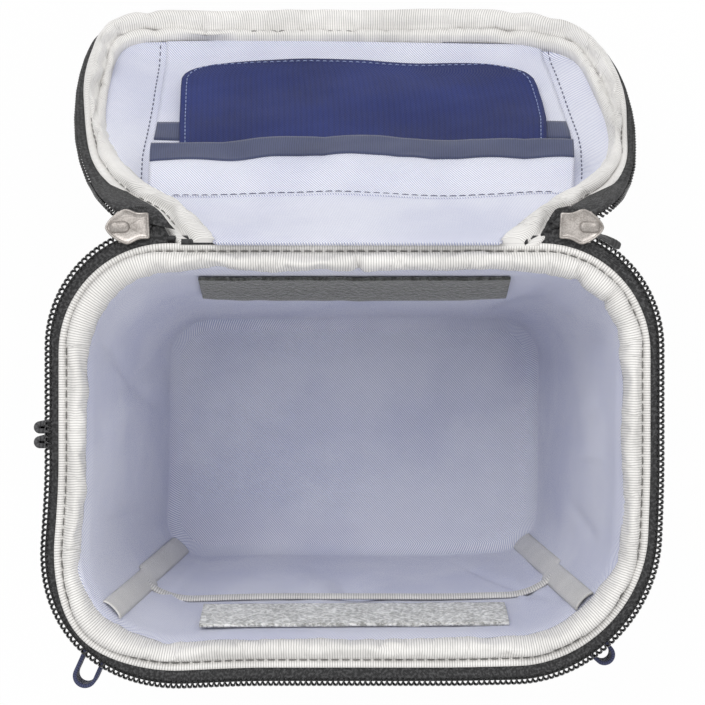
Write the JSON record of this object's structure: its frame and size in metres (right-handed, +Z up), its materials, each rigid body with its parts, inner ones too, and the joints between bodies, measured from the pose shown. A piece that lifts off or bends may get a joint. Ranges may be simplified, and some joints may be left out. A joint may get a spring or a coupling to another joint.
{
  "type": "top-loading camera bag",
  "caption": "Padded top-loading camera bag, open, with a zipped fold-back lid, lined interior, grip strips and a pocket inside the lid.",
  "frame": {"origin": "middle of the base panel's underside, in line with the middle of the bag's width", "axes": "+Z up, -Y the bag's front, +Y the rear where the lid hinges, X across the width"},
  "size_m": [0.2082, 0.238, 0.1537],
  "materials": {
    "black_nylon": "matt woven nylon",
    "padding_foam": "closed-cell foam sheet",
    "lavender_lining": "fine woven lining",
    "pale_grosgrain": "ribbed grosgrain tape",
    "zip_coil": "glossy moulded coil",
    "cord_pull": "cord with a moulded end",
    "nickel": "satin nickel plate",
    "loop_strip_light": "napped loop tape",
    "loop_strip_dark": "napped loop tape",
    "navy_grosgrain": "ribbed tape",
    "blue_grosgrain": "ribbed tape",
    "navy_weave": "coarse woven fabric"
  },
  "bodies": {
    "bag": {"outer_shell": "black_nylon", "base_panel": "black_nylon", "foam_wall": "padding_foam", "foam_base": "padding_foam", "body_lining": "lavender_lining", "rim_binding": "pale_grosgrain", "body_zip_tape": "black_nylon", "body_zip_chain": "zip_coil", "front_grip_strip": "loop_strip_light", "rear_grip_strip": "loop_strip_dark", "corner_binding_left": "pale_grosgrain", "corner_binding_right": "pale_grosgrain", "corner_loop_left": "navy_grosgrain", "corner_loop_right": "navy_grosgrain", "side_tab": "black_nylon", "front_pocket": "black_nylon", "front_pocket_hem": "black_nylon", "belt_loop": "black_nylon", "hinge_seam": "black_nylon"},
    "lid": {"lid_shell": "black_nylon", "lid_foam": "padding_foam", "lid_lining": "lavender_lining", "lid_binding": "pale_grosgrain", "lid_zip_tape": "black_nylon", "lid_zip_chain": "zip_coil", "hinge_flap": "black_nylon", "pocket_rear": "lavender_lining", "pocket_band_rear": "blue_grosgrain", "pocket_front": "lavender_lining", "pocket_band_front": "blue_grosgrain"},
    "slider_left": {"slider_left": "nickel"},
    "slider_right": {"slider_right": "nickel"},
    "pull_left": {"pull_left": "cord_pull"},
    "pull_right": {"pull_right": "cord_pull"},
    "card_flap": {"card_flap": "navy_weave"}
  },
  "joints": [
    {"name": "lid_hinge", "type": "hinge", "parent": "bag", "child": "lid", "pos_m": [0, 0.0753, 0.153], "axis": [1, 0, 0], "range_deg": [0, 232]},
    {"name": "slider_left_travel", "type": "hinge", "parent": "bag", "child": "slider_left", "pos_m": [-0.0615, 0.0391, 0.148], "axis": [0, 0, 1], "range_deg": [0, 50]},
    {"name": "slider_right_travel", "type": "hinge", "parent": "bag", "child": "slider_right", "pos_m": [0.0615, 0.0391, 0.148], "axis": [0, 0, -1], "range_deg": [0, 50]},
    {"name": "pull_left_swing", "type": "hinge", "parent": "slider_left", "child": "pull_left", "pos_m": [-0.07782, 0.07761, 0.1423], "axis": [-0.3173, 0.9483, 0], "range_deg": [-15, 75]},
    {"name": "pull_right_swing", "type": "hinge", "parent": "slider_right", "child": "pull_right", "pos_m": [0.07782, 0.07761, 0.1423], "axis": [-0.3173, -0.9483, 0], "range_deg": [-15, 75]},
    {"name": "card_flap_fold", "type": "hinge", "parent": "lid", "child": "card_flap", "pos_m": [0, 0.11095, 0.09925], "axis": [1, 0, 0], "range_deg": [0, 95]}
  ]
}
